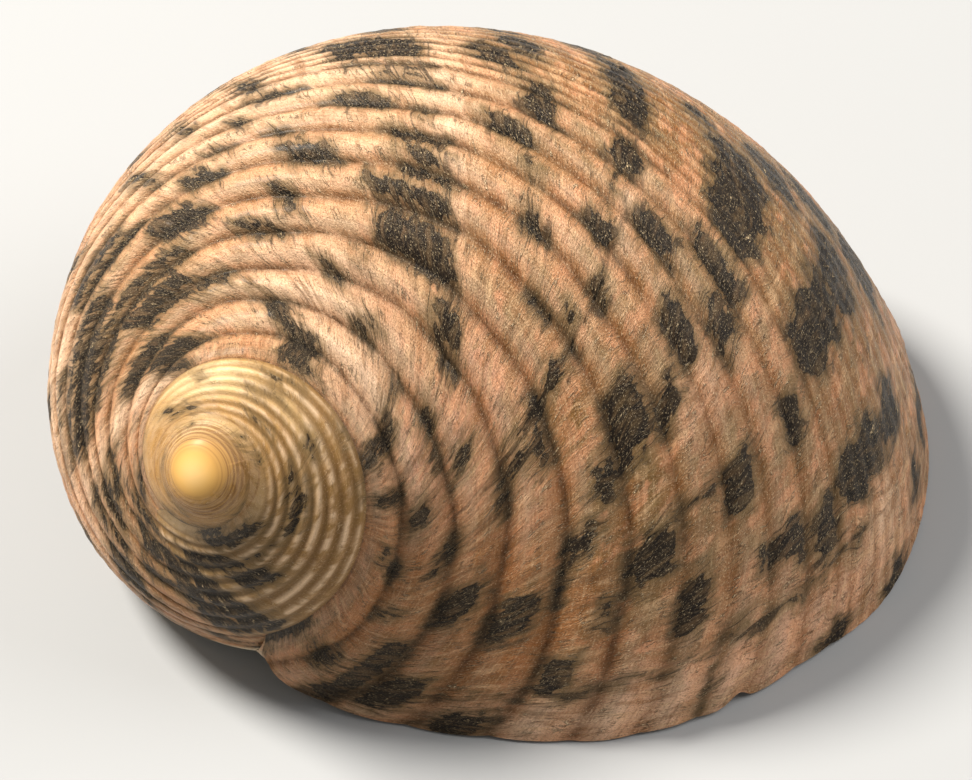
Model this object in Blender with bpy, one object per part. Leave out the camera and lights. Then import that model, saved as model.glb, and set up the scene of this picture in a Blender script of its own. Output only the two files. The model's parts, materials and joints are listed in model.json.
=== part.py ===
"""Nerite shell, resting on its opening.

The outside is one coiled sheet. The edge of the outer lip is a curve in space, and every older growth
edge is the same curve turned back about the coiling axis and shrunk toward the apex. Two coordinates
run over the sheet: the growth angle, counted back from the lip, and the cord coordinate, which runs
along the lip from the seam with the turn above (0) to the front end of the opening. A flat deck closes
the underside next to the opening, and a hollow runs back from the opening into the last turn.

Lengths are in millimetres until the mesh is made, which is in metres.
"""
import math

import bmesh
import bpy
import numpy as np

MM = 0.001

# Coiling: direction of the axis toward the apex, the apex itself, and how fast older edges shrink
AXIS = np.array([-0.385, -0.714, 0.585])
APEX = np.array([-9.06, 2.69, 10.62])
SHRINK = 0.208
SHRINK_SLOWS = 0.0085
APEX_ROUNDING = 0.5

# Edge of the outer lip about the axis: distance from it, height along it, turn about it in degrees
LIP = [
    (7.63, -6.16, -89.6),
    (9.90, -7.46, -67.7),
    (12.61, -8.77, -49.5),
    (15.23, -11.07, -36.6),
    (16.85, -14.27, -26.6),
    (17.77, -17.78, -18.1),
    (16.75, -22.07, -7.4),
    (14.86, -24.80, 1.4),
    (12.39, -26.00, 10.1),
    (9.44, -26.40, 19.7),
    (6.50, -26.00, 35.0),
    (3.20, -25.50, 60.0),
]
KNOT_STEP = 1.0 / 7.0
LIP_START_BACK = math.radians(308.2)
LIP_START_CORD = 0.6134
FRONT_END_CORD = 1.39

# Search along a growth edge for the place where it meets the deck
RIM_SEARCH_FROM = 0.70
RIM_SEARCH_TO = 11.99 * KNOT_STEP
RIM_SEARCH_POINTS = 600
RIM_WIDEST_WITHIN = 60

# Broad cords lie between these grooves, and finer cords fill the rest down to the deck
GROOVES = [0.0, 0.10, 0.199, 0.281, 0.364, 0.447, 0.514, 0.575, 0.631, 0.690]
FINE_CORDS = 12
BROAD_CORD_HEIGHT = 0.24
FINE_CORD_HEIGHT = 0.12
BULGE_AT = (0.28, 0.72)
BULGE_SHARE = 0.85
FINE_CORDS_FADE = (1.05, 1.30)
OLD_TURN_REACH = 0.1

# Underside
RIM_LIFT = 0.45
RIM_LIFT_BY = math.radians(12.0)
RIM_LIFT_ENDS = (math.radians(165.0), math.radians(195.0))
RIM_RISE = 2.75
RIM_RISE_FROM = math.radians(235.0)
DECK_EDGE_SHARE = 0.3
EDGE_CLIMBS_FROM = 0.66
EDGE_CLIMB_POWER = 1.5
EDGE_EVEN_BEFORE = 0.1
EDGE_EVEN_OVER = 0.25
FRONT_FLATTENS_BY = 0.12
DECK_SIDE_POWER = 8
FLAT_WITHIN = 0.03
EDGE_BOW = 0.5
OPENING_SIDE = np.array([0.71, -0.70, 0.0])
LIP_THICKNESS = 1.0
LIP_BEVEL = 0.45
LIP_TAPERS = (0.10, 0.06)
WALL_SHARE = 0.13
WALL_GROWS = 0.05
HOLLOW_TURN = math.radians(96.0)
HOLLOW_RINGS = 9
HOLLOW_END_TURN = math.radians(7.0)
SHELF_REACH = 3.6
SHELF_FULL_AT = 0.45

# Smooth dome over the oldest turn, about the axis, and the growth angles over which it takes over
NUCLEUS_TOP = -0.42
NUCLEUS_FALL = 0.33
NUCLEUS_REACH = (1.5, 2.1)
NUCLEUS_FROM = math.radians(560.0)
NUCLEUS_BY = math.radians(150.0)
NUCLEUS_RING = 0.5

# Mesh: columns across the growth angle, from the lip to where the dome closes the oldest turn
COLUMNS_TO_SEAM = 36
COLUMNS = 90

# Middle of the finished shell's box, moved to the origin
CENTRE = np.array([0.32, 11.56, 0.0])


def smoothstep(x):
    x = np.clip(x, 0.0, 1.0)
    return x * x * (3.0 - 2.0 * x)


def spline(values):
    """Natural cubic spline through evenly spaced values, as a function of the cord coordinate."""
    y = np.asarray(values, dtype=float)
    count = len(y)
    lhs = np.eye(count)
    rhs = np.zeros(count)
    for i in range(1, count - 1):
        lhs[i, i - 1:i + 2] = (1.0, 4.0, 1.0)
        rhs[i] = 6.0 * (y[i - 1] - 2.0 * y[i] + y[i + 1])
    bend = np.linalg.solve(lhs, rhs)

    def value(cord):
        t = np.clip(np.asarray(cord, dtype=float) / KNOT_STEP, 0.0, count - 1.000001)
        i = t.astype(int)
        b = t - i
        a = 1.0 - b
        curve = (a ** 3 - a) * bend[i] + (b ** 3 - b) * bend[i + 1]
        return a * y[i] + b * y[i + 1] + curve / 6.0

    return value


def shrink(back):
    """Size of the growth edge that lies back radians before the lip."""
    return np.exp(-SHRINK * back + 0.5 * SHRINK_SLOWS * back ** 2)


def lip_splines():
    """The lip's three splines. The lip starts on the outside of the turn above it."""
    start = (6.0, -4.4, -85.0)
    for _ in range(6):
        points = [start] + LIP
        curves = [spline([p[k] for p in points]) for k in range(3)]
        size = shrink(LIP_START_BACK)
        start = (
            size * curves[0](LIP_START_CORD),
            size * curves[1](LIP_START_CORD),
            curves[2](LIP_START_CORD) + math.degrees(LIP_START_BACK) - 360.0,
        )
    return curves


DISTANCE, HEIGHT, TURN = lip_splines()
UP = AXIS / np.linalg.norm(AXIS)
SIDE = np.array([1.0, 0.0, 0.0]) - UP[0] * UP
SIDE = SIDE / np.linalg.norm(SIDE)
ACROSS = np.cross(UP, SIDE)


def turned(points, back):
    """Points carried back along the growth of the shell."""
    rel = points - APEX
    along = rel @ UP
    x = rel @ SIDE
    y = rel @ ACROSS
    c = math.cos(back)
    s = math.sin(back)
    moved = np.outer(c * x - s * y, SIDE) + np.outer(s * x + c * y, ACROSS) + np.outer(along, UP)
    return APEX + shrink(back) * moved


def surface(back, cord):
    """Smooth outer surface, without cords."""
    size = shrink(back)
    turn = np.radians(TURN(cord)) + back
    reach = size * DISTANCE(cord)
    down = np.hypot(size * HEIGHT(cord), APEX_ROUNDING)
    return (
        APEX
        + (reach * np.cos(turn))[..., None] * SIDE
        + (reach * np.sin(turn))[..., None] * ACROSS
        - down[..., None] * UP
    )


def rim_height(back):
    """Height of the deck's outer edge: just off the ground, on it, then rising to where the lip starts."""
    falls, ends = RIM_LIFT_ENDS
    lift = RIM_LIFT * smoothstep(back / RIM_LIFT_BY) * (1.0 - smoothstep((back - falls) / (ends - falls)))
    rise_share = max(0.0, (back - RIM_RISE_FROM) / (LIP_START_BACK - RIM_RISE_FROM))
    return lift + RIM_RISE * rise_share ** 2


def rim_cord(back):
    """Cord coordinate where the outside meets the deck's edge."""
    if back == 0.0:
        return FRONT_END_CORD
    cords = np.linspace(RIM_SEARCH_FROM, RIM_SEARCH_TO, RIM_SEARCH_POINTS)
    height = surface(np.full_like(cords, back), cords)[:, 2] - rim_height(back)
    widest = int(np.argmax(height[:RIM_WIDEST_WITHIN]))
    below = np.nonzero(height[widest:] < 0.0)[0]
    i = widest + int(below[0])
    if i == 0:
        return cords[0]
    share = height[i - 1] / (height[i - 1] - height[i])
    return cords[i - 1] + share * (cords[i] - cords[i - 1])


def groove_shift(back, cord):
    """How far the grooves lie beyond their first place, in cord coordinate. They wander as the shell grows."""
    deg = math.degrees(back)
    outer = smoothstep((cord - 0.30) / 0.15)
    shift = 0.005 - outer * (0.018 * smoothstep((deg - 88.0) / 40.0) + 0.030 * smoothstep((deg - 190.0) / 50.0))
    inner = 1.0 - smoothstep((cord - 0.20) / 0.08)
    shift = shift + inner * 0.012 * math.cos(math.radians(2.4 * (deg - 25.0)))
    return shift * smoothstep(cord / 0.1) * smoothstep((300.0 - deg) / 40.0) * smoothstep((1.2 - cord) / 0.2)


def onto_nucleus(points, share):
    """Points drawn by share onto the smooth dome over the oldest turn, along the coiling axis."""
    rel = points - APEX
    along = rel @ UP
    from_axis = np.linalg.norm(rel - along[..., None] * UP, axis=-1)
    dome = NUCLEUS_TOP - NUCLEUS_FALL * from_axis ** 2
    first, last = NUCLEUS_REACH
    near = 1.0 - smoothstep((from_axis - first) / (last - first))
    return points + (share * near * (dome - along))[..., None] * UP


def cord_rows():
    """Rows of the sheet down to the last broad cord, and the height of the cords on each."""
    rows = []
    rise = []
    for low, high in zip(GROOVES[:-1], GROOVES[1:]):
        rows.append(low)
        rise.append(0.0)
        for share in BULGE_AT:
            rows.append(low + share * (high - low))
            rise.append(BULGE_SHARE * BROAD_CORD_HEIGHT)
    rows.append(GROOVES[-1])
    rise.append(0.0)
    return np.array(rows), np.array(rise)


def outside():
    """Vertices of the sheet as columns by rows, the row that meets the seam, and the cords' height."""
    broad, broad_rise = cord_rows()
    seam_row = int(np.argmin(abs(broad - LIP_START_CORD)))
    broad[seam_row] = LIP_START_CORD
    fine = (np.arange(2 * FINE_CORDS) + 1.0) / (2.0 * FINE_CORDS)
    fine_rise = np.where(np.arange(2 * FINE_CORDS) % 2 == 0, FINE_CORD_HEIGHT, 0.0)
    step = LIP_START_BACK / COLUMNS_TO_SEAM
    grid = []
    for i in range(COLUMNS + 1):
        back = i * step
        end = rim_cord(back) if i <= COLUMNS_TO_SEAM else GROOVES[-1] + OLD_TURN_REACH
        moved = broad + groove_shift(back, broad)
        cords = np.concatenate([moved, moved[-1] + fine * (end - moved[-1])])
        grid.append((back, cords, end))
    backs = np.array([[g[0]] * len(g[1]) for g in grid])
    cords = np.array([g[1] for g in grid])
    nucleus_share = smoothstep((backs - NUCLEUS_FROM) / NUCLEUS_BY)
    points = onto_nucleus(surface(backs, cords), nucleus_share)
    # Older turns are drawn onto the seam of the turn below, so the sheet closes on itself
    seam = points[:, 0].copy()
    pull = smoothstep(broad[:seam_row + 1] / LIP_START_CORD)
    for i in range(COLUMNS_TO_SEAM + 1, COLUMNS + 1):
        gap = seam[i - COLUMNS_TO_SEAM] - points[i, seam_row]
        points[i, :seam_row + 1] += pull[:, None] * gap
    normal = np.cross(np.gradient(points, axis=0), np.gradient(points, axis=1))
    normal /= np.linalg.norm(normal, axis=2)[..., None]
    rise = np.concatenate([broad_rise, fine_rise])[None, :] * shrink(backs)
    spread = np.array([g[2] - GROOVES[-1] for g in grid]) / (FRONT_END_CORD - GROOVES[-1])
    rise[:, len(broad):] *= np.clip(spread, 0.0, 1.0)[:, None]
    fade_from, fade_to = FINE_CORDS_FADE
    rise *= 1.0 - smoothstep((cords - fade_from) / (fade_to - fade_from))
    rise[0] *= 0.5
    points -= ((1.0 - nucleus_share) * rise)[..., None] * normal
    points[:, :seam_row] = onto_nucleus(points[:, :seam_row], nucleus_share[:, :seam_row])
    points[..., 2] = np.maximum(points[..., 2], 0.0)
    return points, seam_row


def deck_edge(front_end, lip_start):
    """Edge of the deck along the opening, from the front end to where the lip starts."""
    share = np.linspace(0.0, 1.0, COLUMNS_TO_SEAM + 1)
    line = np.outer(1.0 - share, front_end) + np.outer(share, lip_start)
    climbed = smoothstep((share - EDGE_CLIMBS_FROM) / (1.0 - EDGE_CLIMBS_FROM)) ** EDGE_CLIMB_POWER
    line[:, 2] = front_end[2] * (1.0 - smoothstep(share / FRONT_FLATTENS_BY))
    line[:, 2] += lip_start[2] * climbed
    return line - np.outer(EDGE_BOW * np.sin(math.pi * share), OPENING_SIDE)


def deck(rim, edge, side):
    """Deck between the shell's rim and the opening, closed at the lip's start by the side points."""
    columns = len(rim)
    rows = len(side)
    across = np.linspace(0.0, 1.0, rows)[:, None]
    patch = np.zeros((columns, rows, 3))
    for i in range(columns):
        share = i / (columns - 1)
        near_side = share ** DECK_SIDE_POWER
        even = smoothstep((share - EDGE_CLIMBS_FROM + EDGE_EVEN_BEFORE) / EDGE_EVEN_OVER)
        rim_drop = even * (1.0 - across) + (1.0 - even) * (1.0 - smoothstep(across / DECK_EDGE_SHARE))
        edge_drop = even * across + (1.0 - even) * smoothstep((across - 1.0) / DECK_EDGE_SHARE + 1.0)
        from_rim = np.hstack([1.0 - across, 1.0 - across, rim_drop])
        from_edge = np.hstack([across, across, edge_drop])
        end = side - (from_rim * side[0] + from_edge * side[-1])
        patch[i] = from_rim * rim[i] + from_edge * edge[i] + near_side * end
    flat = abs(patch[..., 2]) < FLAT_WITHIN
    patch[..., 2][flat] = 0.0
    return patch


def hollow_rings(loop, lip_count):
    """Rings of the hollow behind the opening; the first lip_count loop points follow the lip."""
    middle = loop.mean(axis=0)
    rings = []
    for m in range(1, HOLLOW_RINGS + 1):
        depth = m / HOLLOW_RINGS
        ring = middle + (loop - middle) * (1.0 - WALL_SHARE - WALL_GROWS * depth)
        share = np.linspace(0.0, 1.0, len(loop) - lip_count)
        reach = SHELF_REACH * smoothstep(depth / SHELF_FULL_AT) * np.sin(math.pi * share)
        ring[lip_count:] -= np.outer(reach, OPENING_SIDE)
        rings.append(turned(ring, HOLLOW_TURN * depth))
    return rings


def build_mesh():
    """One closed mesh: outside, deck and hollow."""
    points, seam_row = outside()
    columns, rows = points.shape[:2]
    mesh = bmesh.new()

    def add(p):
        return mesh.verts.new((p - CENTRE) * MM)

    def face(*corners):
        kept = [v for k, v in enumerate(corners) if v is not corners[k - 1]]
        if len(kept) > 2:
            mesh.faces.new(kept)

    # Outside, column by column; an older column ends on the seam of the turn below
    sheet = []
    for i in range(columns):
        if i < COLUMNS_TO_SEAM:
            sheet.append([add(p) for p in points[i]])
        elif i == COLUMNS_TO_SEAM:
            column = [add(p) for p in points[i]]
            mesh.verts.remove(column[seam_row])
            column[seam_row] = sheet[0][0]
            sheet.append(column)
        else:
            column = [add(p) for p in points[i, :seam_row]]
            column.append(sheet[i - COLUMNS_TO_SEAM][0])
            sheet.append(column)
    for i in range(columns - 1):
        last = rows - 1 if i < COLUMNS_TO_SEAM else seam_row
        for j in range(last):
            face(sheet[i][j], sheet[i][j + 1], sheet[i + 1][j + 1], sheet[i + 1][j])

    # Smooth dome over the oldest turn
    ring = [sheet[-1][j] for j in range(seam_row + 1)]
    ring += [sheet[i][0] for i in range(columns - COLUMNS_TO_SEAM, columns - 1)]
    ring_points = np.array([np.array(v.co) / MM + CENTRE for v in ring])
    top = APEX + NUCLEUS_TOP * UP
    inner_ring = onto_nucleus(top + NUCLEUS_RING * (ring_points - top), np.ones(len(ring)))
    inner_ring_verts = [add(p) for p in inner_ring]
    crown = add(top)
    for k in range(len(ring)):
        face(ring[k - 1], ring[k], inner_ring_verts[k], inner_ring_verts[k - 1])
        face(inner_ring_verts[k - 1], inner_ring_verts[k], crown)

    # Deck
    rim = np.array([points[i, -1] for i in range(COLUMNS_TO_SEAM + 1)])
    lip_start = points[0, 0]
    side_verts = [sheet[COLUMNS_TO_SEAM][j] for j in range(rows - 1, seam_row - 1, -1)]
    side = np.array([np.array(v.co) / MM + CENTRE for v in side_verts])
    edge = deck_edge(rim[0], lip_start)
    patch = deck(rim, edge, side)
    deck_verts = []
    for i in range(COLUMNS_TO_SEAM + 1):
        if i == 0:
            deck_verts.append([sheet[0][-1]] * len(side))
        elif i == COLUMNS_TO_SEAM:
            deck_verts.append(side_verts)
        else:
            deck_verts.append([sheet[i][-1]] + [add(p) for p in patch[i, 1:]])
    for i in range(COLUMNS_TO_SEAM):
        for j in range(len(side) - 1):
            face(deck_verts[i][j], deck_verts[i][j + 1], deck_verts[i + 1][j + 1], deck_verts[i + 1][j])

    # Lip: a bevelled rim that thins out to nothing at both ends
    lip = points[0]
    along = np.gradient(lip, axis=0)
    inward = np.cross(along, np.array([0.0, 0.0, 1.0]))
    inward[:, 2] = 0.0
    inward /= np.linalg.norm(inward, axis=1)[:, None]
    place = np.linspace(0.0, 1.0, rows)
    first_taper, last_taper = LIP_TAPERS
    width = LIP_THICKNESS * smoothstep(place / first_taper) * smoothstep((1.0 - place) / last_taper)
    inner = lip - width[:, None] * inward
    inner[:, 2] += LIP_BEVEL * width
    inner_verts = [sheet[0][0]] + [add(p) for p in inner[1:-1]] + [sheet[0][-1]]
    for j in range(rows - 1):
        face(sheet[0][j + 1], sheet[0][j], inner_verts[j], inner_verts[j + 1])

    # Hollow
    edge_verts = [deck_verts[i][-1] for i in range(COLUMNS_TO_SEAM + 1)]
    loop_verts = inner_verts + edge_verts[1:-1]
    lip_line = np.concatenate([lip, edge[1:-1]])
    previous = loop_verts
    for ring_points in hollow_rings(lip_line, rows):
        current = [add(p) for p in ring_points]
        for k in range(len(current)):
            face(previous[k - 1], previous[k], current[k], current[k - 1])
        previous = current
    centre = sum((np.array(v.co) for v in previous), np.zeros(3)) / len(previous)
    deep = turned((centre / MM + CENTRE)[None, :], HOLLOW_END_TURN)[0]
    end = add(deep)
    for k in range(len(previous)):
        face(previous[k - 1], previous[k], end)

    bmesh.ops.triangulate(mesh, faces=mesh.faces[:])
    bmesh.ops.recalc_face_normals(mesh, faces=mesh.faces[:])
    return mesh


def shell_material():
    material = bpy.data.materials.new("shell")
    material.use_nodes = True
    surface_node = material.node_tree.nodes["Principled BSDF"]
    surface_node.inputs["Base Color"].default_value = (0.62, 0.36, 0.20, 1.0)
    surface_node.inputs["Roughness"].default_value = 0.35
    surface_node.inputs["Metallic"].default_value = 0.0
    return material


def main():
    for item in list(bpy.data.objects):
        bpy.data.objects.remove(item, do_unlink=True)
    data = bpy.data.meshes.new("shell")
    mesh = build_mesh()
    mesh.to_mesh(data)
    mesh.free()
    data.materials.append(shell_material())
    data.shade_smooth()
    data.set_sharp_from_angle(angle=math.radians(35.0))
    shell = bpy.data.objects.new("shell", data)
    group = bpy.data.collections.new("nerite_shell")
    bpy.context.scene.collection.children.link(group)
    group.objects.link(shell)


main()
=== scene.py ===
"""Nerite shell on a pale floor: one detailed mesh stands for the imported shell.

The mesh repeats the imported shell's coiled sheet at a higher resolution. Two coordinates run over the
sheet: the growth angle, counted back from the outer lip, and the cord coordinate, which runs along the
lip from the seam with the turn above. They also carry the markings, as attributes that the material
reads. Lengths are in millimetres until the mesh is made, which is in metres.
"""
import json
import math
from types import SimpleNamespace

import bpy
import numpy as np
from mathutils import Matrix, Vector

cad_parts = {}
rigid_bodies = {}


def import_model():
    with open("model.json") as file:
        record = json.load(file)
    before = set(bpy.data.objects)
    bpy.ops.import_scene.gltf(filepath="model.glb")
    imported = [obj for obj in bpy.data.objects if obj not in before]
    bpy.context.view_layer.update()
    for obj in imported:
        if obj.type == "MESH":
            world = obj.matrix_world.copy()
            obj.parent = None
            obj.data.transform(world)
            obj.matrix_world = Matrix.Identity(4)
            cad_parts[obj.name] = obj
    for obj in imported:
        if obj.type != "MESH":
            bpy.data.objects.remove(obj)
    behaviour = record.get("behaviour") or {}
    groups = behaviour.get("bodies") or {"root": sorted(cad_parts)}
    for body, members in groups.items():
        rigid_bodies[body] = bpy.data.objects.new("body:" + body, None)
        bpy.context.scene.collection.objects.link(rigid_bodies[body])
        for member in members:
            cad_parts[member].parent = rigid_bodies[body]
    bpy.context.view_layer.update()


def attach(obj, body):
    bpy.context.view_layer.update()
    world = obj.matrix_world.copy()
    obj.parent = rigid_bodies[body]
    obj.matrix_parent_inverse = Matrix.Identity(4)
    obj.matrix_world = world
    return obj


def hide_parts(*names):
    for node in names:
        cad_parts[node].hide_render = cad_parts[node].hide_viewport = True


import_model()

MM = 0.001

# The coiled sheet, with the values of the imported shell
AXIS = np.array([-0.385, -0.714, 0.585])
APEX = np.array([-9.06, 2.69, 10.62])
SHRINK = 0.208
SHRINK_SLOWS = 0.0085
APEX_ROUNDING = 0.5
LIP = [
    (7.63, -6.16, -89.6),
    (9.90, -7.46, -67.7),
    (12.61, -8.77, -49.5),
    (15.23, -11.07, -36.6),
    (16.85, -14.27, -26.6),
    (17.77, -17.78, -18.1),
    (16.75, -22.07, -7.4),
    (14.86, -24.80, 1.4),
    (12.39, -26.00, 10.1),
    (9.44, -26.40, 19.7),
    (6.50, -26.00, 35.0),
    (3.20, -25.50, 60.0),
]
KNOT_STEP = 1.0 / 7.0
LIP_START_BACK = math.radians(308.2)
LIP_START_CORD = 0.6134
FRONT_END_CORD = 1.39
RIM_LIFT = 0.45
RIM_LIFT_BY = math.radians(12.0)
RIM_LIFT_ENDS = (math.radians(165.0), math.radians(195.0))
RIM_RISE = 2.75
RIM_RISE_FROM = math.radians(235.0)
RIM_SEARCH_FROM = 0.70
RIM_SEARCH_TO = 11.99 * KNOT_STEP
RIM_SEARCH_POINTS = 600
RIM_WIDEST_WITHIN = 60
DECK_EDGE_SHARE = 0.3
DECK_SIDE_POWER = 8
EDGE_CLIMBS_FROM = 0.66
EDGE_CLIMB_POWER = 1.5
EDGE_EVEN_BEFORE = 0.1
EDGE_EVEN_OVER = 0.25
EDGE_BOW = 0.5
FRONT_FLATTENS_BY = 0.12
OPENING_SIDE = np.array([0.71, -0.70, 0.0])
LIP_THICKNESS = 1.0
LIP_BEVEL = 0.45
LIP_TAPERS = (0.10, 0.06)
LIP_ROUNDING = ((0.3, 0.05), (0.65, 0.3), (1.0, 1.0))
WALL_SHARE = 0.13
WALL_GROWS = 0.05
HOLLOW_TURN = math.radians(96.0)
HOLLOW_END_TURN = math.radians(7.0)
SHELF_REACH = 3.6
SHELF_FULL_AT = 0.45
NUCLEUS_TOP = -0.42
NUCLEUS_FALL = 0.33
NUCLEUS_FROM = 560.0
NUCLEUS_BY = 150.0
NUCLEUS_REACH = 1.5
NUCLEUS_BLEND = 0.6
CENTRE = np.array([0.32, 11.56, 0.0])

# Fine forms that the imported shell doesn't have. The lip's scallops and chip are in degrees of growth
TEETH = (0.36, 0.43, 0.50, 0.57)
TOOTH_HEIGHT = 0.28
TOOTH_WIDTH = 0.014
FOLD_DEPTH = 0.10
RIDGES = 34.0
RIDGE_SHARE = 0.012
SCALLOP = 0.28
SCALLOP_FULL_WIDTH = 0.08
SCALLOP_WANDER = 0.14
SCALLOP_REACH = 5.0
CHIP = 1.3
CHIP_AT = 0.617
CHIP_WIDTH = 0.012

# Resolution
COLUMNS_TO_SEAM = 262
LIP_CROWDING = 0.28
BREAK_COLUMN_GAP = 0.22
OLD_TURNS_END = math.radians(770.5)
ROWS_ACROSS_BROAD = (0.0, 0.05, 0.12, 0.22, 0.36, 0.5, 0.64, 0.78, 0.88, 0.95)
ROWS_ACROSS_FINE = (0.0, 0.22, 0.5, 0.78)
BROAD_ROWS_FROM = 0.04
BASE_ROW_STEP = 0.02
ROWS_END = 11.9 * KNOT_STEP
CLIP_SHARE = 0.35
OLD_TURN_ROWS = 60
DOME_LOOPS = (0.85, 0.68, 0.50, 0.32, 0.15)
HOLLOW_RINGS = 14
HOLLOW_RING_POWER = 1.3

# Sizes that the markings and patterns are measured in
MM_PER_DEGREE_AT = (0.0, 0.1, 0.3, 0.6, 0.9, 1.2, 1.5)
MM_PER_DEGREE = (0.11, 0.13, 0.19, 0.29, 0.33, 0.27, 0.20)
MM_PER_CORD = 30.0
GROWTH_REACH = 17.0

# Markings, lines and tints. Lengths are in millimetres, but MARK_WAVER is in degrees, and GROOVE_LINES
# and RIM_CREAM are in cord coordinate
FIELD_REACH = 1.0
FIELD_DEPTH = 0.6
MARK_BOW = 0.22
MARK_WAVER = 0.7
MARK_PINCH = 0.14
MARK_ROUNDING = 0.75
GROOVE_LINES = (0.0048, 0.0115)
SOFT_GROOVE = 0.45
SEAM_LINE = 0.12
CORD_SIDES = (0.30, 0.72)
CORD_SIDE_WIDTH = 0.16
GOLD_REACH = 0.45
GOLD_BLEND = 1.10
# Painted highlight on the dome's tip: its strength, and its reach in millimetres
TIP_HIGHLIGHT = 0.5
TIP_HIGHLIGHT_REACH = 0.9
CREAM_FROM = 0.8
CREAM_BLEND = 1.2
RIM_CREAM = 0.06

# Floor and camera. The tilt is from looking straight down, and the lens is in millimetres
FLOOR_SIZE = 0.6
CAMERA_PLACE = (-0.32, -98.895, 120.248)
CAMERA_TILT = math.radians(40.45)
LENS = 173.6
SENSOR_WIDTH = 36.0

# Cords
GROOVES = [0.0, 0.10, 0.199, 0.281, 0.364, 0.447, 0.514, 0.575, 0.631, 0.690, 0.742]
FINE_CORD_WIDTH = 0.0215
FINE_CORDS = 19
BROAD_CORD_HEIGHT = 0.33
FINE_CORD_HEIGHT = 0.10
GROOVE_SHARE = 0.55
FINE_CORDS_FADE = (1.02, 1.26)
SPIRE_CORD_WIDTH = 0.054
SPIRE_CORD_HEIGHT = 0.30
SPIRE_CORD_DRIFT = 0.0005
SPIRE_COVER_AT = (308.0, 390.0, 450.0, 500.0, 550.0, 600.0, 650.0, 720.0)
SPIRE_COVER = (0.0, 0.04, 0.07, 0.10, 0.15, 0.17, 0.21, 0.25)
BROAD_FROM = 0.03
BROAD_BLEND = 0.04
LIP_EDGE_RISE = 0.5
SEAM_FADE = 0.03
RIM_FADE = 0.05

# Growth breaks: angle back from the lip in degrees, height of the step, how far it fades in degrees
BREAKS = [
    (2.1, 0.05, 1.6),
    (4.6, 0.05, 2.0),
    (7.6, 0.06, 2.2),
    (10.9, 0.14, 3.5),
    (32.6, 0.05, 2.2),
    (67.2, 0.07, 2.2),
    (96.0, 0.06, 3.0),
    (128.0, 0.05, 3.0),
    (161.0, 0.06, 3.5),
    (203.0, 0.06, 3.5),
    (246.0, 0.06, 3.5),
]
BREAKS_WITH_COLUMNS = BREAKS[3:9]


def scaled(rows, units):
    """Rows with each value divided by its column's unit."""
    return [tuple(value / unit for value, unit in zip(row, units)) for row in rows]


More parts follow.
